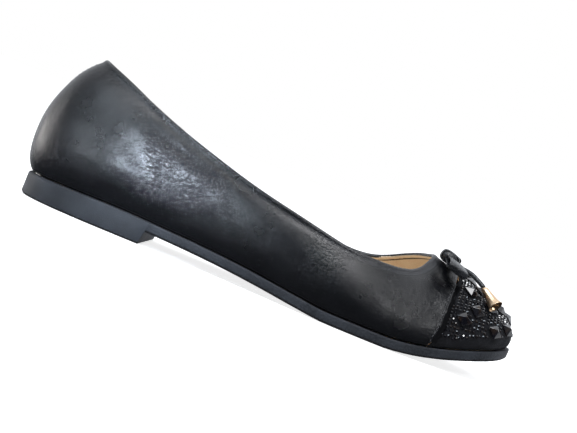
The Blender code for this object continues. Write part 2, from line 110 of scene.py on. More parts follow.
def point_camera():
    """A camera at the photograph's angle, rolled as it is."""
    back = Vector((
        math.sin(VIEW_AZIMUTH) * math.cos(VIEW_ELEVATION),
        -math.cos(VIEW_AZIMUTH) * math.cos(VIEW_ELEVATION),
        math.sin(VIEW_ELEVATION),
    ))
    level = Vector((math.cos(VIEW_AZIMUTH), math.sin(VIEW_AZIMUTH), 0.0))
    upright = back.cross(level)
    right = level * math.cos(VIEW_ROLL) + upright * math.sin(VIEW_ROLL)
    up = upright * math.cos(VIEW_ROLL) - level * math.sin(VIEW_ROLL)
    place = VIEW_TARGET + back * VIEW_DISTANCE
    aim = VIEW_TARGET + right * AIM_RIGHT + up * AIM_UP
    axis = (place - aim).normalized()
    side = up.cross(axis).normalized()
    lens = bpy.data.cameras.new("camera")
    lens.lens = LENS
    lens.sensor_width = 36.0
    lens.clip_start = 0.01
    camera = bpy.data.objects.new("camera", lens)
    bpy.context.scene.collection.objects.link(camera)
    turn = Matrix((side, axis.cross(side), axis)).transposed().to_4x4()
    camera.matrix_world = Matrix.Translation(place) @ turn
    bpy.context.scene.camera = camera


# Floor and light

SOFTBOXES = (
    # name, place, aims at, width, height, spread, watts, colour
    ("key", (-0.022, -0.366, 0.154), (0.029, -0.031, 0.031), 0.055, 0.040, 15.0, 0.0130, (0.76, 0.87, 1.0)),
    ("left strip", (-0.72, -0.86, 0.24), (-0.01, -0.02, 0.045), 0.10, 0.30, 12.0, 0.04, (0.82, 0.90, 1.0)),
    ("fill", (-0.46, -0.56, 0.80), (0.16, 0.01, 0.04), 0.60, 0.50, 180.0, 4.0, (0.78, 0.89, 1.0)),
    ("overhead", (0.07, -0.34, 0.96), (0.06, 0.0, 0.03), 0.50, 0.40, 180.0, 6.0, (0.97, 0.98, 1.0)),
    ("rim", (-0.62, 0.16, 0.030), (-0.025, -0.01, 0.030), 0.30, 0.12, 180.0, 1.0, (1.0, 0.96, 0.93)),
    ("toe", (0.70, -0.62, 0.70), (0.19, 0.0, 0.03), 0.14, 0.14, 180.0, 1.6, (0.96, 0.98, 1.0)),
)
FLOOR_GLOW = 0.80
FLOOR_SIZE = 30.0
FLOOR_DROP = 0.0002


def add_stage():
    """A pale floor with a glow of its own, so that it runs into the white behind it."""
    finish = Finish("pale floor")
    speck = finish.noise(finish.where, 60.0, 2.0)
    shade = finish.scaled(speck, 0.3, 0.7, 0.84, 0.87)
    grey = finish.add("ShaderNodeCombineColor", Red=shade, Green=shade, Blue=shade).outputs[0]
    finish.set(Base_Color=grey)
    finish.set(Roughness=0.9, Emission_Color=(1.0, 1.0, 1.0, 1.0), Emission_Strength=FLOOR_GLOW)
    bpy.ops.mesh.primitive_plane_add(size=FLOOR_SIZE, location=(0.1, 0.0, -FLOOR_DROP))
    floor = bpy.context.object
    floor.name = "floor"
    floor.data.materials.append(finish.material)
    floor.visible_glossy = False


def add_lights():
    """The soft boxes, and a room that is dark in front of the shoe and bright behind it."""
    for name, place, target, width, height, spread, watts, colour in SOFTBOXES:
        lamp = bpy.data.lights.new(name, "AREA")
        lamp.shape = "RECTANGLE"
        lamp.size = width
        lamp.size_y = height
        lamp.spread = math.radians(spread)
        lamp.energy = watts
        lamp.color = colour
        box = bpy.data.objects.new(name, lamp)
        bpy.context.scene.collection.objects.link(box)
        box.location = place
        box.rotation_euler = (Vector(target) - Vector(place)).to_track_quat("-Z", "Y").to_euler()
        box.visible_camera = False
    world = bpy.data.worlds.new("studio")
    bpy.context.scene.world = world
    world.use_nodes = True
    dim = world.node_tree.nodes["Background"]
    tree = Nodes(world.node_tree)
    direction = tree.add("ShaderNodeSeparateXYZ", Vector=tree.add("ShaderNodeTexCoord").outputs["Generated"])
    behind = tree.scaled(direction.outputs["Y"], -0.20, 0.25)
    above_floor = tree.scaled(direction.outputs["Z"], -0.35, -0.10)
    ceiling = tree.scaled(direction.outputs["Z"], 0.55, 0.95, 0.0, 0.35)
    lit = tree.math("MAXIMUM", tree.math("MULTIPLY", behind, above_floor), ceiling)
    room = tree.mix(lit, (0.022, 0.024, 0.029), (0.84, 0.87, 0.92))
    tree.feed(dim.inputs["Color"], room)
    white = tree.add("ShaderNodeBackground", Color=(1.0, 1.0, 1.0, 1.0), Strength=1.0)
    seen = tree.add("ShaderNodeLightPath").outputs["Is Camera Ray"]
    mixed = tree.add("ShaderNodeMixShader", Fac=seen)
    tree.link(dim.outputs[0], mixed.inputs[1])
    tree.link(white.outputs[0], mixed.inputs[2])
    tree.link(mixed.outputs[0], world.node_tree.nodes["World Output"].inputs["Surface"])
    bpy.context.scene.view_settings.view_transform = "Standard"


# Material helpers

class Nodes:
    """Adds nodes to one node tree; a value given for a socket is linked or set."""

    def __init__(self, tree):
        self.tree = tree

    def link(self, source, target):
        self.tree.links.new(source, target)

    def feed(self, socket, value):
        if isinstance(value, bpy.types.NodeSocket):
            self.link(value, socket)
        else:
            socket.default_value = value

    def add(self, kind, settings=None, **values):
        node = self.tree.nodes.new(kind)
        for name, value in (settings or {}).items():
            setattr(node, name, value)
        for name, value in values.items():
            self.feed(node.inputs[name.replace("_", " ")], value)
        return node

    def math(self, operation, first, second=0.0):
        node = self.tree.nodes.new("ShaderNodeMath")
        node.operation = operation
        self.feed(node.inputs[0], first)
        self.feed(node.inputs[1], second)
        return node.outputs[0]

    def scaled(self, value, low, high, to_low=0.0, to_high=1.0):
        """The value mapped from one range to another, held at its ends."""
        node = self.tree.nodes.new("ShaderNodeMapRange")
        self.feed(node.inputs["Value"], value)
        for name, number in (("From Min", low), ("From Max", high), ("To Min", to_low), ("To Max", to_high)):
            self.feed(node.inputs[name], number)
        return node.outputs["Result"]

    def mix(self, share, first, second):
        """A colour between two."""
        node = self.tree.nodes.new("ShaderNodeMix")
        node.data_type = "RGBA"
        self.feed(node.inputs[0], share)
        self.feed(node.inputs[6], colour_of(first))
        self.feed(node.inputs[7], colour_of(second))
        return node.outputs[2]

    def noise(self, where, scale, detail=3.0, roughness=0.55):
        return self.add(
            "ShaderNodeTexNoise", Vector=where, Scale=scale, Detail=detail, Roughness=roughness
        ).outputs["Fac"]

    def group(self, tree, **values):
        node = self.tree.nodes.new("ShaderNodeGroup")
        node.node_tree = tree
        for name, value in values.items():
            self.feed(node.inputs[name.replace("_", " ")], value)
        return node

    def bump(self, height, distance, strength=1.0, normal=None):
        node = self.add("ShaderNodeBump", Height=height, Distance=distance, Strength=strength)
        if normal:
            self.link(normal, node.inputs["Normal"])
        return node.outputs["Normal"]


def colour_of(value):
    """A plain colour gets its alpha; a socket stays a socket."""
    return value if isinstance(value, bpy.types.NodeSocket) else (*value, 1.0)


def new_group(name, inputs, outputs):
    """An empty shader node group; returns it, its Nodes, its input sockets and its output node."""
    tree = bpy.data.node_groups.new(name, "ShaderNodeTree")
    for label, kind, default in inputs:
        socket = tree.interface.new_socket(label, in_out="INPUT", socket_type=kind)
        if default is not None:
            socket.default_value = default
    for label, kind in outputs:
        tree.interface.new_socket(label, in_out="OUTPUT", socket_type=kind)
    given = tree.nodes.new("NodeGroupInput")
    wanted = tree.nodes.new("NodeGroupOutput")
    return tree, Nodes(tree), given.outputs, wanted.inputs


def hide_grain():
    """Fine pebbled grain of smooth leather: cells with soft creases between them, and crinkles."""
    tree, nodes, given, wanted = new_group(
        "hide grain",
        (("Vector", "NodeSocketVector", None), ("Cells", "NodeSocketFloat", 1500.0)),
        (("Height", "NodeSocketFloat"), ("Crease", "NodeSocketFloat"), ("Crinkle", "NodeSocketFloat")),
    )
    warp = nodes.add("ShaderNodeTexNoise", Vector=given["Vector"], Scale=420.0, Detail=2.0)
    centred = nodes.add("ShaderNodeVectorMath", {"operation": "SUBTRACT"})
    nodes.link(warp.outputs["Color"], centred.inputs[0])
    centred.inputs[1].default_value = (0.5, 0.5, 0.5)
    pushed = nodes.add("ShaderNodeVectorMath", {"operation": "SCALE"}, Scale=0.0012)
    nodes.link(centred.outputs[0], pushed.inputs[0])
    moved = nodes.add("ShaderNodeVectorMath", {"operation": "ADD"})
    nodes.link(given["Vector"], moved.inputs[0])
    nodes.link(pushed.outputs[0], moved.inputs[1])
    edges = {"feature": "DISTANCE_TO_EDGE"}
    cells = nodes.add("ShaderNodeTexVoronoi", edges, Vector=moved.outputs[0], Scale=given["Cells"])
    crease = nodes.scaled(cells.outputs["Distance"], 0.0, 0.16, 1.0, 0.0)
    wide = nodes.add("ShaderNodeTexVoronoi", edges, Vector=moved.outputs[0], Scale=430.0)
    wrinkle = nodes.scaled(wide.outputs["Distance"], 0.0, 0.22, 1.0, 0.0)
    patches = nodes.scaled(nodes.noise(given["Vector"], 55.0, 2.0), 0.40, 0.62)
    crinkle = nodes.math("MULTIPLY", wrinkle, patches)
    fine = nodes.noise(given["Vector"], 5200.0, 2.0)
    height = nodes.math("SUBTRACT", nodes.math("MULTIPLY", fine, 0.35), nodes.math("MULTIPLY", crease, 0.8))
    nodes.link(height, wanted["Height"])
    nodes.link(crease, wanted["Crease"])
    nodes.link(crinkle, wanted["Crinkle"])
    return tree


def soft_dents():
    """Broad shallow dents of leather over a last, and a mask for uneven polish."""
    tree, nodes, given, wanted = new_group(
        "soft dents",
        (("Vector", "NodeSocketVector", None), ("Size", "NodeSocketFloat", 1.0)),
        (("Height", "NodeSocketFloat"), ("Polish", "NodeSocketFloat")),
    )
    size = given["Size"]
    broad = nodes.noise(given["Vector"], nodes.math("MULTIPLY", size, 38.0), 2.0, 0.45)
    small = nodes.noise(given["Vector"], nodes.math("MULTIPLY", size, 150.0), 3.0, 0.5)
    height = nodes.math("ADD", broad, nodes.math("MULTIPLY", small, 0.22))
    nodes.link(height, wanted["Height"])
    polish = nodes.noise(given["Vector"], nodes.math("MULTIPLY", size, 62.0), 4.0, 0.6)
    nodes.link(nodes.scaled(polish, 0.3, 0.7), wanted["Polish"])
    return tree


def rub_marks():
    """Thin scattered scratches and specks of handling, as a mask."""
    tree, nodes, given, wanted = new_group(
        "rub marks",
        (("Vector", "NodeSocketVector", None), ("Amount", "NodeSocketFloat", 0.5)),
        (("Mask", "NodeSocketFloat"),),
    )
    stretched = nodes.add("ShaderNodeMapping", Scale=(1.0, 1.0, 9.0), Rotation=(0.3, 0.5, 0.2))
    nodes.link(given["Vector"], stretched.inputs["Vector"])
    lines = nodes.scaled(nodes.noise(stretched.outputs[0], 260.0, 4.0, 0.7), 0.66, 0.74)
    specks = nodes.scaled(nodes.noise(given["Vector"], 900.0, 2.0), 0.72, 0.80)
    both = nodes.math("MAXIMUM", lines, specks)
    nodes.link(nodes.math("MULTIPLY", both, given["Amount"]), wanted["Mask"])
    return tree


class Finish(Nodes):
    """One material, with its shader and Object coordinates at hand."""

    def __init__(self, name):
        self.material = bpy.data.materials.new(name)
        self.material.use_nodes = True
        super().__init__(self.material.node_tree)
        self.shader = self.tree.nodes["Principled BSDF"]
        self.where = self.add("ShaderNodeTexCoord").outputs["Object"]

    def set(self, **values):
        for name, value in values.items():
            self.feed(self.shader.inputs[name.replace("_", " ")], value)

    def axis(self, name):
        return self.add("ShaderNodeSeparateXYZ", Vector=self.where).outputs[name]

    def surface(self, name):
        return self.add("ShaderNodeAttribute", {"attribute_name": name}).outputs["Fac"]


GRAIN = hide_grain()
DENTS = soft_dents()
RUBS = rub_marks()


BLACK = (0.0026, 0.0029, 0.0038)
BLACK_POLISHED = (0.0052, 0.0057, 0.0072)


def black_leather(name, light=BLACK_POLISHED, cells=1500.0, dents=0.0005):
    """Smooth black leather with fine grain; returns the finish so that seams can be added."""
    finish = Finish(name)
    grain = finish.group(GRAIN, Vector=finish.where, Cells=cells)
    dent = finish.group(DENTS, Vector=finish.where)
    rubs = finish.group(RUBS, Vector=finish.where, Amount=0.5)
    colour = finish.mix(dent.outputs["Polish"], BLACK, light)
    colour = finish.mix(finish.math("MULTIPLY", grain.outputs["Crease"], 0.5), colour, (0.004, 0.004, 0.005))
    scuffs = rubs.outputs["Mask"]
    colour = finish.mix(finish.math("MULTIPLY", scuffs, 0.12), colour, (0.06, 0.06, 0.07))
    roughness = finish.scaled(dent.outputs["Polish"], 0.0, 1.0, 0.29, 0.21)
    roughness = finish.math("ADD", roughness, finish.math("MULTIPLY", scuffs, 0.15))
    soft = finish.bump(dent.outputs["Height"], dents)
    soft = finish.bump(finish.math("MULTIPLY", grain.outputs["Crinkle"], -1.0), 0.00009, 0.8, soft)
    finish.set(Base_Color=colour, Roughness=roughness, Specular_IOR_Level=0.5)
    finish.set(Normal=finish.bump(grain.outputs["Height"], 0.00005, 0.8, soft))
    return finish


def quarter_leather():
    """The upper's leather: painted highlights on the rolled binding at the throat and along the raw front
    edge, and painted shade in the groove below the binding, in the back seam and next to the sole.
    """
    finish = black_leather("quarter leather")
    from_top = finish.surface("from_top")
    from_seam = finish.surface("from_seam")
    throat = finish.scaled(finish.axis("X"), 0.105, 0.150)
    binding = finish.scaled(from_top, BINDING_WIDTH * 0.85, BINDING_WIDTH * 1.1, 1.0, 0.0)
    binding = finish.math("MULTIPLY", binding, throat)
    groove = finish.math("ABSOLUTE", finish.math("SUBTRACT", from_top, BINDING_WIDTH * 1.08))
    groove = finish.math("MULTIPLY", finish.scaled(groove, 0.0, 0.00045, 0.6, 0.0), throat)
    sole_joint_shade = finish.scaled(finish.surface("from_sole"), 0.0006, 0.0014, 1.0, 0.0)
    edge = finish.scaled(from_seam, 0.0002, 0.0005, 1.0, 0.0)
    across = finish.math("ABSOLUTE", finish.axis("Y"))
    back = finish.scaled(finish.axis("X"), -0.0245, -0.0225, 1.0, 0.0)
    seam = finish.math("MULTIPLY", finish.scaled(across, 0.0001, 0.00055, 1.0, 0.0), back)
    plain = finish.shader.inputs["Base Color"].links[0].from_socket
    # Painted highlight: the rolled binding near the throat is painted grey, as light on its roll.
    colour = finish.mix(finish.math("MULTIPLY", binding, 0.6), plain, (0.030, 0.031, 0.035))
    # Painted shade: the groove below the binding and the back seam are painted near black.
    groove_and_seam_shade = finish.math("MULTIPLY", finish.math("MAXIMUM", groove, seam), 0.85)
    colour = finish.mix(groove_and_seam_shade, colour, (0.002, 0.002, 0.002))
    # Painted highlight: a pale grey band along the quarters' raw front edge.
    colour = finish.mix(finish.math("MULTIPLY", edge, 0.5), colour, (0.16, 0.165, 0.175))
    # Painted shade: the leather next to the sole is painted near black, as the shadow in the joint; it is
    # also made rougher there.
    colour = finish.mix(sole_joint_shade, colour, (0.0015, 0.0015, 0.002))
    dull = finish.shader.inputs["Roughness"].links[0].from_socket
    finish.set(Roughness=finish.math("ADD", dull, finish.math("MULTIPLY", sole_joint_shade, 0.6)))
    cut = finish.math("ADD", finish.math("MULTIPLY", groove, 0.5), seam)
    grained = finish.shader.inputs["Normal"].links[0].from_socket
    finish.set(Base_Color=colour)
    finish.set(Normal=finish.bump(finish.math("MULTIPLY", cut, -1.0), 0.00035, 0.9, grained))
    return finish.material


def tan_lining(name="tan lining", pale=(0.92, 0.79, 0.61), deep=(0.84, 0.67, 0.47)):
    """Soft tan lining leather, a little mottled and rubbed."""
    finish = Finish(name)
    grain = finish.group(GRAIN, Vector=finish.where, Cells=1150.0)
    dent = finish.group(DENTS, Vector=finish.where, Size=1.6)
    rubs = finish.group(RUBS, Vector=finish.where, Amount=0.6)
    colour = finish.mix(dent.outputs["Polish"], deep, pale)
    colour = finish.mix(finish.math("MULTIPLY", grain.outputs["Crease"], 0.35), colour, (0.66, 0.46, 0.28))
    colour = finish.mix(finish.math("MULTIPLY", rubs.outputs["Mask"], 0.3), colour, (0.93, 0.85, 0.70))
    soft = finish.bump(dent.outputs["Height"], 0.0008)
    finish.set(Base_Color=colour, Roughness=finish.scaled(dent.outputs["Polish"], 0.0, 1.0, 0.62, 0.5))
    finish.set(Normal=finish.bump(grain.outputs["Height"], 0.00007, 0.8, soft))
    return finish.material


def cap_suede():
    """Black suede: short nap brushed in patches, with a dull sheen."""
    finish = Finish("black suede")
    patches = finish.noise(finish.where, 90.0, 4.0, 0.6)
    nap = finish.noise(finish.where, 4200.0, 3.0, 0.7)
    tufts = finish.noise(finish.where, 1500.0, 3.0, 0.6)
    colour = finish.mix(finish.scaled(patches, 0.35, 0.65), (0.0035, 0.0035, 0.0045), (0.010, 0.0105, 0.013))
    colour = finish.mix(finish.scaled(tufts, 0.55, 0.8, 0.0, 0.6), colour, (0.026, 0.027, 0.032))
    height = finish.math("ADD", nap, finish.math("MULTIPLY", tufts, 1.4))
    finish.set(Base_Color=colour, Roughness=finish.scaled(patches, 0.3, 0.7, 0.95, 0.82))
    finish.set(Specular_IOR_Level=0.18, Sheen_Weight=0.10, Sheen_Roughness=0.35)
    finish.set(Sheen_Tint=(0.55, 0.58, 0.66, 1.0))
    finish.set(Normal=finish.bump(height, 0.00018, 1.0))
    return finish.material


def sole_rubber():
    """Slate grey moulded rubber: a smooth dull heel, a pebbled waist, and painted shade on the faces that
    look down.
    """
    finish = Finish("sole rubber")
    along = finish.axis("X")
    before_heel = finish.scaled(along, 0.0345, 0.0375)
    pebble = finish.add(
        "ShaderNodeTexVoronoi", {"feature": "SMOOTH_F1"}, Vector=finish.where, Scale=1050.0, Smoothness=0.6
    ).outputs["Distance"]
    pebble = finish.math("MULTIPLY", finish.scaled(pebble, 0.1, 0.7, 1.0, 0.0), before_heel)
    speck = finish.noise(finish.where, 2600.0, 2.0)
    patch = finish.noise(finish.where, 70.0, 4.0)
    rubs = finish.group(RUBS, Vector=finish.where, Amount=0.8)
    normal = finish.add("ShaderNodeTexCoord").outputs["Normal"]
    facing = finish.add("ShaderNodeSeparateXYZ", Vector=normal).outputs["Z"]
    under = finish.scaled(facing, -0.45, -0.25, 1.0, 0.0)
    colour = finish.mix(finish.scaled(patch, 0.35, 0.65), (0.011, 0.0135, 0.0185), (0.021, 0.025, 0.033))
    colour = finish.mix(finish.math("MULTIPLY", pebble, 0.35), colour, (0.040, 0.045, 0.056))
    colour = finish.mix(finish.math("MULTIPLY", rubs.outputs["Mask"], 0.25), colour, (0.16, 0.16, 0.17))
    # Painted shade: faces that look down are painted darker.
    colour = finish.mix(finish.math("MULTIPLY", under, 0.85), colour, (0.010, 0.010, 0.012))
    tread = tread_height(finish)
    height = finish.math("ADD", pebble, speck)
    height = finish.math("ADD", height, finish.math("MULTIPLY", finish.math("MULTIPLY", tread, under), 4.0))
    finish.set(Base_Color=colour, Roughness=finish.scaled(patch, 0.3, 0.7, 0.62, 0.52))
    finish.set(Specular_IOR_Level=0.4)
    finish.set(Normal=finish.bump(height, 0.00012, 0.9))
    return finish.material


def tread_height(finish):
    """Fine wavy tread ribs across the underside."""
    wave = finish.add(
        "ShaderNodeTexWave",
        {"wave_type": "BANDS", "bands_direction": "X", "wave_profile": "SIN"},
        Vector=finish.where,
        Scale=110.0,
        Distortion=1.2,
        Detail=0.0,
    )
    return wave.outputs["Fac"]


def bell_gold():
    """Polished pale gold plate with hair-fine turning marks and a little haze."""
    finish = Finish("bell gold")
    haze = finish.noise(finish.where, 240.0, 4.0, 0.6)
    fine = finish.noise(finish.where, 3000.0, 2.0)
    colour = finish.mix(finish.scaled(haze, 0.3, 0.7), (0.90, 0.62, 0.38), (0.95, 0.72, 0.50))
    finish.set(Base_Color=colour, Metallic=1.0, Roughness=finish.scaled(haze, 0.3, 0.7, 0.24, 0.36))
    finish.set(Normal=finish.bump(fine, 0.000012, 0.6))
    return finish.material


def jet_stone(name="jet stone", shine=0.5):
    """Black faceted resin with a mirror polish, faintly brown in its depth."""
    finish = Finish(name)
    cloud = finish.noise(finish.where, 320.0, 2.0)
    scuff = finish.noise(finish.where, 1700.0, 3.0, 0.7)
    colour = finish.mix(finish.scaled(cloud, 0.45, 0.7), (0.004, 0.004, 0.006), (0.016, 0.010, 0.007))
    finish.set(Base_Color=colour, Roughness=finish.scaled(scuff, 0.5, 0.9, 0.05, 0.16))
    finish.set(Specular_IOR_Level=shine, Coat_Weight=shine, Coat_Roughness=0.02)
    finish.set(Normal=finish.bump(cloud, 0.00006, 0.5))
    return finish.material


def black_thread():
    finish = Finish("black thread")
    diagonal = {"bands_direction": "DIAGONAL"}
    wave = finish.add("ShaderNodeTexWave", diagonal, Vector=finish.where, Scale=1900.0, Distortion=0.6)
    twist = wave.outputs["Fac"]
    finish.set(Base_Color=finish.mix(twist, (0.016, 0.016, 0.019), (0.075, 0.077, 0.086)), Roughness=0.6)
    finish.set(Sheen_Weight=0.2, Normal=finish.bump(twist, 0.00008, 0.8))
    return finish.material


def painted_gap_shade():
    """Painted shade between two edges: black and dull, faintly mottled."""
    finish = Finish("painted gap shade")
    shade_mottle = finish.noise(finish.where, 1800.0, 2.0)
    finish.set(Base_Color=finish.mix(shade_mottle, (0.001, 0.001, 0.0015), (0.005, 0.005, 0.006)), Roughness=0.95)
    finish.set(Specular_IOR_Level=0.1, Normal=finish.bump(shade_mottle, 0.0001, 0.8))
    return finish.material


def dried_glue():
    """Cloudy glue, dried in a thin bead."""
    finish = Finish("dried glue")
    cloud = finish.noise(finish.where, 900.0, 3.0)
    milky = finish.scaled(cloud, 0.42, 0.58)
    finish.set(Base_Color=finish.mix(milky, (0.05, 0.05, 0.05), (0.55, 0.53, 0.50)))
    finish.set(Roughness=finish.scaled(cloud, 0.3, 0.7, 0.3, 0.5), Normal=finish.bump(cloud, 0.0002, 0.9))
    return finish.material


def edge_highlight_paint():
    """A grey line along the raw edge of the leather: a painted highlight, dull and mottled."""
    finish = Finish("painted edge highlight")
    highlight_mottle = finish.noise(finish.where, 700.0, 4.0, 0.7)
    finish.set(Base_Color=finish.mix(finish.scaled(highlight_mottle, 0.4, 0.65), (0.06, 0.062, 0.07), (0.30, 0.30, 0.32)))
    finish.set(Roughness=0.55, Normal=finish.bump(highlight_mottle, 0.00006, 0.8))
    return finish.material


# Mesh helpers

def select_only(piece):
    bpy.ops.object.select_all(action="DESELECT")
    piece.select_set(True)
    bpy.context.view_layer.objects.active = piece


def clear_faces(piece):
    """Leaves nothing selected, with faces as what is selected next."""
    select_only(piece)
    bpy.ops.object.mode_set(mode="EDIT")
    bpy.ops.mesh.select_mode(type="FACE")
    bpy.ops.mesh.select_all(action="DESELECT")
    bpy.ops.object.mode_set(mode="OBJECT")


def copy_node(node, name):
    """A merged copy of a CAD node, its triangles paired into quads again."""
    piece = bpy.data.objects.new(name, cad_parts[node].data.copy())
    bpy.context.scene.collection.objects.link(piece)
    select_only(piece)
    bpy.ops.object.mode_set(mode="EDIT")
    bpy.ops.mesh.select_all(action="SELECT")
    bpy.ops.mesh.remove_doubles(threshold=0.00002)
    bpy.ops.mesh.tris_convert_to_quads(face_threshold=math.radians(50), shape_threshold=math.radians(50))
    bpy.ops.object.mode_set(mode="OBJECT")
    bpy.ops.mesh.customdata_custom_splitnormals_clear()
    piece.data.materials.clear()
    return piece


def smooth_by(piece, degrees):
    select_only(piece)
    bpy.ops.object.shade_smooth_by_angle(angle=math.radians(degrees))


def refine(piece, levels):
    modifier = piece.modifiers.new("refine", "SUBSURF")
    modifier.levels = levels
    modifier.render_levels = levels
    select_only(piece)
    bpy.ops.object.modifier_apply(modifier="refine")


def bevel(piece, width, segments, degrees=30.0):
    modifier = piece.modifiers.new("edges", "BEVEL")
    modifier.width = width
    modifier.segments = segments
    modifier.limit_method = "ANGLE"
    modifier.angle_limit = math.radians(degrees)
    select_only(piece)
    bpy.ops.object.modifier_apply(modifier="edges")


def settle(piece, material, slot, *nodes):
    """Gives a piece its finish and its body, and hides the CAD nodes that it stands for."""
    if material:
        piece.data.materials.clear()
        piece.data.materials.append(material)
    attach(piece, "root")
    if nodes:
        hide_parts(*nodes)


def inside_line(point):
    """The nearest place on the line through the middle of the shoe."""
    x = min(max(point.x, INSIDE_BACK), INSIDE_FRONT)
    return Vector((x, 0.0, INSIDE_HEIGHT))


def faces_out(centre, normal):
    """More than 0 on the outer side, about 0 on a cut edge and less than 0 on the inner side."""
    return normal.dot((centre - inside_line(centre)).normalized())


def split_lining(piece, name, depth_of):
    """Separates the faces of the inner side, from a depth below the topline, as the lining."""
    clear_faces(piece)
    for face in piece.data.polygons:
        inner = faces_out(face.center, face.normal) < INNER_FACING
        face.select = inner and depth_of(face.center) > BINDING_WIDTH * 0.9
    bpy.ops.object.mode_set(mode="EDIT")
    bpy.ops.mesh.separate(type="SELECTED")
    bpy.ops.object.mode_set(mode="OBJECT")
    lining = [item for item in bpy.context.selected_objects if item != piece][0]
    lining.name = name
    return lining


def walk_topline(mesh):
    """The collar's edge, walked round the highest row of the upper from its back."""
    bm = bmesh.new()
    bm.from_mesh(mesh)
    start = max(bm.verts, key=lambda vert: vert.co.z)
    ahead = Vector((0.0, 1.0, 0.0))
    line = [start.co.copy()]
    vert = start
    for _ in range(400):
        neighbours = [edge.other_vert(vert) for edge in vert.link_edges]
        vert_next = max(neighbours, key=lambda other: (other.co - vert.co).normalized().dot(ahead))
        ahead = (vert_next.co - vert.co).normalized()
        vert = vert_next
        if vert == start:
            break
        line.append(vert.co.copy())
    bm.free()
    return line


def distance_from(points):
    """A function for the distance from a closed line of points."""
    dense = [a.lerp(b, k / 6) for a, b in zip(points, points[1:] + points[:1]) for k in range(6)]
    tree = KDTree(len(dense))
    for i, point in enumerate(dense):
        tree.insert(point, i)
    tree.balance()
    return lambda point: tree.find(point)[2]


def store(piece, name, values):
    layer = piece.data.attributes.new(name, "FLOAT", "POINT")
    layer.data.foreach_set("value", values)


# Soft troughs and ridges of the leather, from the photograph. Millimetres from the origin; depth is
# negative for a ridge
CREASES = (
    # x0, y0, z0, x1, y1, z1, width, depth
    (166.0, -9.0, 45.0, 178.5, -19.0, 32.0, 3.4, 0.75),
    (161.0, -14.0, 39.5, 168.0, -27.0, 27.0, 5.0, -0.45),
    (172.0, -24.0, 29.0, 177.0, -30.0, 18.0, 3.2, 0.35),
    (118.0, -35.0, 33.5, 150.0, -27.0, 31.0, 3.2, 0.45),
    (20.0, -27.0, 54.0, 62.0, -28.0, 41.0, 3.6, 0.45),
    (-14.0, -21.0, 64.0, -20.0, -24.0, 46.0, 3.0, 0.40),
    (-24.0, -14.0, 50.0, -27.0, -18.0, 34.0, 3.2, 0.30),
    (10.0, -29.0, 44.0, 26.0, -31.0, 30.0, 6.0, 0.30),
    (-4.0, -29.0, 31.0, 50.0, -32.0, 20.0, 9.0, -1.00),
    (87.0, -35.0, 20.0, 95.0, -37.0, 19.0, 4.5, -0.50),
    (70.0, -33.0, 30.0, 110.0, -38.0, 22.0, 5.0, 0.30),
    (128.0, -38.0, 22.0, 146.0, -36.0, 14.0, 4.5, 0.30),
    (166.0, 10.0, 45.0, 177.0, 21.0, 34.0, 3.4, 0.70),
    (160.0, 20.0, 41.0, 168.0, 31.0, 27.0, 5.0, -0.40),
    (112.0, 33.0, 33.0, 142.0, 31.0, 33.0, 3.2, 0.45),
    (18.0, 27.0, 53.0, 60.0, 27.0, 39.0, 3.6, 0.45),
    (-12.0, 22.0, 62.0, -18.0, 25.0, 45.0, 3.0, 0.40),
    (16.0, 32.0, 24.0, 58.0, 29.0, 18.0, 4.0, 0.30),
    (-31.0, -8.0, 66.0, -35.0, -9.0, 52.0, 1.8, 0.22),
    (-31.0, 8.0, 66.0, -35.0, 9.0, 54.0, 1.8, 0.22),
    (-33.0, 4.5, 68.0, -36.0, 5.0, 58.0, 1.6, 0.18),
    (-33.0, -4.0, 67.0, -36.0, -4.5, 56.0, 1.6, 0.18),
)


def press_creases(piece, from_top):
    """Moves the wall's points along its outward normal for each trough and ridge."""
    count = len(piece.data.vertices)
    points = np.empty(count * 3)
    normals = np.empty(count * 3)
    piece.data.vertices.foreach_get("co", points)
    piece.data.vertices.foreach_get("normal", normals)
    points = points.reshape(-1, 3)
    normals = normals.reshape(-1, 3)
    middle = np.column_stack([
        np.clip(points[:, 0], INSIDE_BACK, INSIDE_FRONT),
        np.zeros(count),
        np.full(count, INSIDE_HEIGHT),
    ])
    outward = np.sign(np.einsum("ij,ij->i", normals, points - middle))[:, None] * normals
    depth = np.zeros(count)
    for x0, y0, z0, x1, y1, z1, width, deep in CREASES:
        start = np.array([x0, y0, z0]) / 1000.0
        run = np.array([x1, y1, z1]) / 1000.0 - start
        share = np.clip((points - start) @ run / (run @ run), 0.0, 1.0)
        away = np.linalg.norm(points - start - share[:, None] * run, axis=1)
        fade = np.sin(np.pi * np.clip(0.12 + 0.76 * share, 0.0, 1.0))
        depth += deep / 1000.0 * fade * np.exp(-((away / (width / 1000.0)) ** 2))
    swell = (
        np.sin(points[:, 0] * 118.0 + 1.3 * np.sin(points[:, 2] * 90.0))
        * np.sin(points[:, 2] * 160.0 + points[:, 0] * 45.0 + points[:, 1] * 30.0)
    )
    depth += SWELL_DEPTH * swell
    calm = np.clip((from_top - BINDING_WIDTH) / CALM_REACH, 0.0, 1.0)
    lean = LEAN_DEPTH * np.clip(1.0 - from_top / LEAN_REACH, 0.0, 1.0) ** 2
    lean *= np.clip((0.150 - points[:, 0]) / 0.04, 0.0, 1.0)
    flat = np.clip((BINDING_WIDTH + 0.0012 - from_top) / 0.0022, 0.0, 1.0)
    lean += BINDING_RAISE * flat * np.clip((0.135 - points[:, 0]) / 0.03, 0.0, 1.0)
    drawn = points - middle
    drawn[:, 2] = 0.0
    drawn /= np.linalg.norm(drawn, axis=1)[:, None]
    points -= outward * (depth * calm)[:, None] + drawn * lean[:, None]
    piece.data.vertices.foreach_set("co", points.ravel())
    piece.data.update()


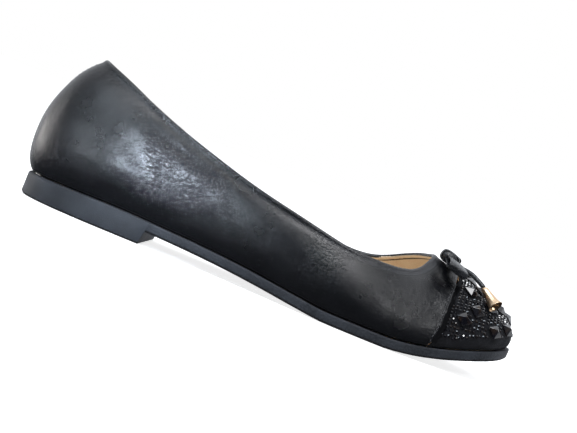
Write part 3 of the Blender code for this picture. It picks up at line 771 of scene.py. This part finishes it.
def surface_tree(*pieces):
    """Search tree of some pieces' faces."""
    points = []
    faces = []
    for piece in pieces:
        first = len(points)
        points += [vert.co.copy() for vert in piece.data.vertices]
        faces += [[first + k for k in face.vertices] for face in piece.data.polygons]
    return BVHTree.FromPolygons(points, faces)


def hit_round(tree, x, angle):
    """Where a ray in the plane of x meets the surface; angle 0 is the outer side, 180 the inner."""
    out = Vector((0.0, -math.cos(angle), math.sin(angle)))
    start = Vector((x, 0.0, SOCKET_HEIGHT)) + out * RAY_REACH
    return tree.ray_cast(start, -out)[:2]


def spaced(points, pitch, start=0.0):
    """Places at equal steps along a line of (point, normal) pairs."""
    chosen = []
    run = 0.0
    due = start
    for (a, normal_a), (b, normal_b) in zip(points, points[1:]):
        step = (b - a).length
        while due <= run + step and step > 0.0:
            share = (due - run) / step
            normal = normal_a.lerp(normal_b, share).normalized()
            chosen.append((a.lerp(b, share), normal, (b - a).normalized()))
            due += pitch
        run += step
    return chosen


def scatter(name, base, placements):
    """One piece of many copies of a small mesh."""
    verts = np.array([vert.co for vert in base.data.vertices])
    faces = [list(face.vertices) for face in base.data.polygons]
    points = []
    loops = []
    for i, placement in enumerate(placements):
        turn = np.array(placement.to_3x3())
        points.append(verts @ turn.T + np.array(placement.translation))
        loops += [[i * len(verts) + k for k in face] for face in faces]
    mesh = bpy.data.meshes.new(name)
    mesh.from_pydata(np.concatenate(points).tolist(), [], loops)
    mesh.validate()
    piece = bpy.data.objects.new(name, mesh)
    bpy.context.scene.collection.objects.link(piece)
    bpy.data.objects.remove(base)
    return piece


def stand_on(point, normal, along, sink):
    """A placement with local Z along the normal and local X along a direction."""
    z = normal.normalized()
    x = (along - z * along.dot(z)).normalized()
    turn = Matrix((x, z.cross(x), z)).transposed()
    return Matrix.Translation(point - z * sink) @ turn.to_4x4()


# Pieces

def make_upper():
    """The quarters with their rolled binding, and the lining inside."""
    shell = copy_node("upper", "quarters")
    topline = walk_topline(shell.data)
    from_line = distance_from(topline)
    refine(shell, 2)
    from_top = np.array([from_line(vert.co) for vert in shell.data.vertices])
    press_creases(shell, from_top)
    store(shell, "from_top", from_top)
    store(shell, "from_seam", seam_distance(shell))
    store(shell, "from_sole", distance_to(shell, "outsole"))
    lining = split_lining(shell, "quarter_lining", from_line)
    smooth_by(shell, 60.0)
    smooth_by(lining, 60.0)
    settle(shell, quarter_leather(), "leather", "upper")
    settle(lining, TAN, "sock", "upper")
    return shell


def distance_to(shell, node):
    """How far each point of the quarters lies from another piece of the shoe."""
    tree = surface_tree(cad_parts[node])
    return np.array([tree.find_nearest(vert.co)[3] for vert in shell.data.vertices])


def seam_distance(shell):
    """How far each point of the quarters lies behind their front edge."""
    tree = surface_tree(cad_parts["toe_cap"])
    return np.array([
        max(0.0, tree.find_nearest(vert.co)[3] - CAP_GAP) if vert.co.x > SEAM_MIDDLE - 0.02 else 1.0
        for vert in shell.data.vertices
    ])


def make_cap():
    """The suede toe cap, with the lining inside it."""
    cap = copy_node("toe_cap", "suede_cap")
    refine(cap, 2)
    lining = split_lining(cap, "cap_lining", lambda point: 1.0)
    smooth_by(cap, 50.0)
    smooth_by(lining, 50.0)
    settle(cap, cap_suede(), "suede", "toe_cap")
    settle(lining, TAN, "sock", "toe_cap")
    return cap


def make_sole():
    """The moulded unit with its edges broken, and the padded sock on it."""
    sole = copy_node("outsole", "moulded_sole")
    bevel(sole, 0.0005, 2, 45.0)
    smooth_by(sole, 35.0)
    settle(sole, sole_rubber(), "rubber", "outsole")
    sock = copy_node("insole", "sock_lining")
    bevel(sock, 0.0006, 3, 45.0)
    smooth_by(sock, 40.0)
    settle(sock, tan_lining("sock leather", (0.86, 0.70, 0.50), (0.76, 0.58, 0.38)), "sock", "insole")


def make_bow():
    """Loops, wrap and tails in one soft leather, with the wrap filled."""
    leather = black_leather("bow leather", (0.036, 0.038, 0.043), 1700.0, 0.0009).material
    for node, name in (
        ("bow_loops", "leather_loops"),
        ("bow_knot", "knot_wrap"),
        ("bow_tail_outer", "outer_tail"),
        ("bow_tail_inner", "inner_tail"),
    ):
        piece = copy_node(node, name)
        refine(piece, 2)
        smooth_by(piece, 70.0)
        settle(piece, leather, "leather", node)
    make_knot_pad(leather)


def make_knot_pad(leather):
    """The folded leather that fills the wrap round the bow's middle."""
    low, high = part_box("bow_knot")
    bpy.ops.object.select_all(action="DESELECT")
    bpy.ops.mesh.primitive_uv_sphere_add(segments=32, ring_count=20, radius=1.0)
    pad = bpy.context.object
    pad.name = "knot_pad"
    place = Matrix.Translation((Vector(low) + Vector(high)) / 2 + KNOT_SHIFT)
    pad.data.transform(place @ Matrix.Rotation(KNOT_TURN, 4, "Y") @ Matrix.Diagonal((*KNOT_PAD, 1.0)))
    smooth_by(pad, 70.0)
    settle(pad, leather, "leather", "bow_knot")


def make_bells():
    gold = bell_gold()
    for side in ("outer", "inner"):
        bell = copy_node("tail_bell_" + side, side + "_bell")
        refine(bell, 2)
        smooth_by(bell, 60.0)
        settle(bell, gold, "gold", "tail_bell_" + side)


def large_stones():
    return sorted(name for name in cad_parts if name.startswith("stone_"))


def make_stones():
    jet = jet_stone()
    for node in large_stones():
        stone = copy_node(node, "cut_" + node)
        bevel(stone, 0.00016, 2, 20.0)
        smooth_by(stone, 12.0)
        settle(stone, jet, "jet", node)


def small_crystal():
    """A tiny round crystal: a low girdle, eight crown facets and a flat top."""
    bpy.ops.object.select_all(action="DESELECT")
    bpy.ops.mesh.primitive_cone_add(
        vertices=8,
        radius1=CRYSTAL_WIDTH / 2,
        radius2=CRYSTAL_WIDTH * 0.24,
        depth=CRYSTAL_HEIGHT * 0.7,
        location=(0.0, 0.0, CRYSTAL_HEIGHT * 0.65),
    )
    crystal = bpy.context.object
    bpy.ops.object.transform_apply(location=True)
    clear_faces(crystal)
    for face in crystal.data.polygons:
        face.select = face.normal.z < -0.9
    bpy.ops.object.mode_set(mode="EDIT")
    bpy.ops.mesh.extrude_region_move(TRANSFORM_OT_translate={"value": (0.0, 0.0, -CRYSTAL_HEIGHT * 0.3)})
    bpy.ops.object.mode_set(mode="OBJECT")
    return crystal


def make_crystals(cap):
    """Rows of tiny crystals over the cap, round the large stones, and a border row below them."""
    tree = surface_tree(cap)
    stones = []
    for node in large_stones():
        low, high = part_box(node)
        middle = (Vector(low) + Vector(high)) / 2
        stones.append(tree.find_nearest(middle)[:2])

    def is_free(point):
        for centre, normal in stones:
            forward = (Vector((1.0, 0.0, 0.0)) - normal * normal.x).normalized()
            side = normal.cross(forward)
            away = point - centre
            if abs(away.dot(forward)) + abs(away.dot(side)) < STONE_REACH and away.length < 0.008:
                return False
        return True

    places = []
    angles = [math.radians(1.5 * k) for k in range(-4, 125)]
    x = SEAM_MIDDLE - 0.0045
    row = 0
    while x < 0.2165:
        line = [hit_round(tree, x, angle) for angle in angles]
        line = [pair for pair in line if pair[0] is not None]
        x_before = x
        x += CRYSTAL_PITCH * 0.92
        row += 1
        if len(line) < 3:
            continue
        length = sum((b[0] - a[0]).length for a, b in zip(line, line[1:]))
        middle = length / 2 + (CRYSTAL_PITCH / 2 if row % 2 else 0.0)
        first = middle % CRYSTAL_PITCH
        for point, normal, along in spaced(line, CRYSTAL_PITCH, first):
            behind = hit_round(tree, x_before - 0.0012, math.atan2(point.z - SOCKET_HEIGHT, -point.y))[0]
            rise = point.z - lower_edge(tree, point)
            if behind is None or rise < BORDER_RISE + 0.0016 or not is_free(point):
                continue
            places.append((point, normal, along))
    line = []
    for k in range(-110, 111):
        turn = math.radians(k)
        out = Vector((math.cos(turn), math.sin(turn), 0.0))
        foot = SEAM_MIDDLE + 0.002
        low = lower_edge(tree, Vector((foot, 0.0, 0.0)) + out * 0.03)
        start = Vector((foot, 0.0, low + BORDER_RISE)) + out * RAY_REACH
        point, normal = tree.ray_cast(start, -out)[:2]
        if point is not None:
            line.append((point, normal))
    border = [place for place in spaced(line, CRYSTAL_PITCH) if is_free(place[0])]
    chance = random.Random(4)
    all_places = []
    for point, normal, along in places + border:
        tilt = Vector([chance.uniform(-CRYSTAL_TILT, CRYSTAL_TILT) for _ in range(3)])
        turned = along + normal.cross(along) * chance.uniform(-1.0, 1.0)
        all_places.append(stand_on(point, normal + tilt, turned, CRYSTAL_SINK))
    crystals = scatter("crystals", small_crystal(), all_places)
    settle(crystals, jet_stone("crystal", 1.0), "jet")


def lower_edge(tree, point):
    """Height of the cap's lower edge beside a point."""
    out = Vector((point.x - SEAM_MIDDLE, point.y, 0.0)).normalized()
    for k in range(60):
        z = 0.004 + 0.00035 * k
        start = Vector((SEAM_MIDDLE, 0.0, z)) + out * RAY_REACH
        if tree.ray_cast(start, -out)[0] is not None:
            return z
    return 0.0


def thread_loop():
    """One stitch: a short thread that dips into the leather at both ends."""
    bpy.ops.object.select_all(action="DESELECT")
    bpy.ops.mesh.primitive_uv_sphere_add(segments=8, ring_count=7, radius=0.5)
    stitch = bpy.context.object
    for vert in stitch.data.vertices:
        x, y, z = vert.co
        vert.co = (z * STITCH_LENGTH, y * THREAD, x * THREAD - (2 * z) ** 4 * THREAD * 0.45)
    select_only(stitch)
    bpy.ops.object.mode_set(mode="EDIT")
    bpy.ops.mesh.select_all(action="SELECT")
    bpy.ops.mesh.normals_make_consistent(inside=False)
    bpy.ops.object.mode_set(mode="OBJECT")
    return stitch


def seam_line(tree, inset):
    """Points of the quarters' surface at a distance behind their front edge."""
    line = []
    for k in range(-11, 101):
        angle = math.radians(2.0 * k)
        low = SEAM_MIDDLE - 0.02
        high = SEAM_MIDDLE + 0.004
        if hit_round(tree, low, angle)[0] is None:
            continue
        for _ in range(14):
            middle = (low + high) / 2
            point = hit_round(tree, middle, angle)[0]
            if point is None:
                high = middle
            else:
                low = middle
        point, normal = hit_round(tree, low - inset, angle)
        if point is not None and faces_out(point, normal) > 0.0:
            line.append((point, normal))
    return line


def back_line(tree, across, high, low):
    """Points down the back of the quarters, beside the back seam."""
    line = []
    steps = 60
    for k in range(steps + 1):
        z = high + (low - high) * k / steps
        point, normal = tree.ray_cast(Vector((-0.08, across, z)), Vector((1.0, 0.0, 0.0)))[:2]
        if point is not None:
            line.append((point, normal))
    return line


def make_stitching(shell):
    """The row behind the quarters' front edge, and the back seam's two rows that close into one."""
    tree = surface_tree(shell)
    rows = [seam_line(tree, SEAM_ROW_INSET)]
    for side in (BACK_ROW_SIDE, -BACK_ROW_SIDE):
        rows.append(back_line(tree, side, BACK_ROW_TOP, BACK_ROW_FOOT))
    places = []
    for row in rows:
        for point, normal, along in spaced(row, STITCH_LENGTH + STITCH_GAP, 0.0006):
            places.append(stand_on(point, normal, along, STITCH_SINK))
    stitches = scatter("stitches", thread_loop(), places)
    smooth_by(stitches, 60.0)
    settle(stitches, black_thread(), "leather")
    # The raw_edge strand is a painted highlight along the quarters' front edge.
    edge = [point + normal * -EDGE_INSET for point, normal in seam_line(tree, EDGE_INSET)]
    add_strand("raw_edge", edge, EDGE_RADIUS, edge_highlight_paint(), "leather")
    add_seam_shade_cords(tree)
    add_glue(tree)


def add_seam_shade_cords(tree):
    """Cords of painted shade under the cap seam, where the cap's hidden lap would shut out the light."""
    behind = seam_line(tree, SHADE_CORD_INSET)
    shade_cord_finish = painted_gap_shade()
    for name, ahead in SHADE_CORD_ROWS:
        row = [point + Vector((ahead, 0.0, 0.0)) - normal * SHADE_CORD_DEPTH for point, normal in behind]
        add_strand(name, row, SHADE_CORD_RADIUS, shade_cord_finish, "leather")


def add_glue(tree):
    """The bead squeezed out between the sole and the back of the quarters."""
    line = []
    for k in range(GLUE_POINTS):
        turn = math.radians(GLUE_START + GLUE_STEP * k)
        out = Vector((math.cos(turn), math.sin(turn), 0.0))
        start = Vector((0.0, 0.0, GLUE_HEIGHT)) + out * 0.1
        point = tree.ray_cast(start, -out)[0]
        if point is not None:
            line.append(point - out * GLUE_SINK)
    add_strand("glue_bead", line, GLUE_RADIUS, dried_glue(), "leather")


def add_strand(name, points, radius, material, slot):
    """A thin round line through points, as a mesh."""
    curve = bpy.data.curves.new(name, "CURVE")
    curve.dimensions = "3D"
    curve.bevel_depth = radius
    curve.bevel_resolution = 1
    curve.use_fill_caps = True
    spline = curve.splines.new("POLY")
    spline.points.add(len(points) - 1)
    for target, point in zip(spline.points, points):
        target.co = (*point, 1.0)
    strand = bpy.data.objects.new(name, curve)
    bpy.context.scene.collection.objects.link(strand)
    select_only(strand)
    bpy.ops.object.convert(target="MESH")
    strand = bpy.context.object
    smooth_by(strand, 60.0)
    settle(strand, material, slot)


point_camera()
add_stage()
add_lights()
TAN = tan_lining()
quarters = make_upper()
cap = make_cap()
make_sole()
make_bow()
make_bells()
make_stones()
make_crystals(cap)
make_stitching(quarters)
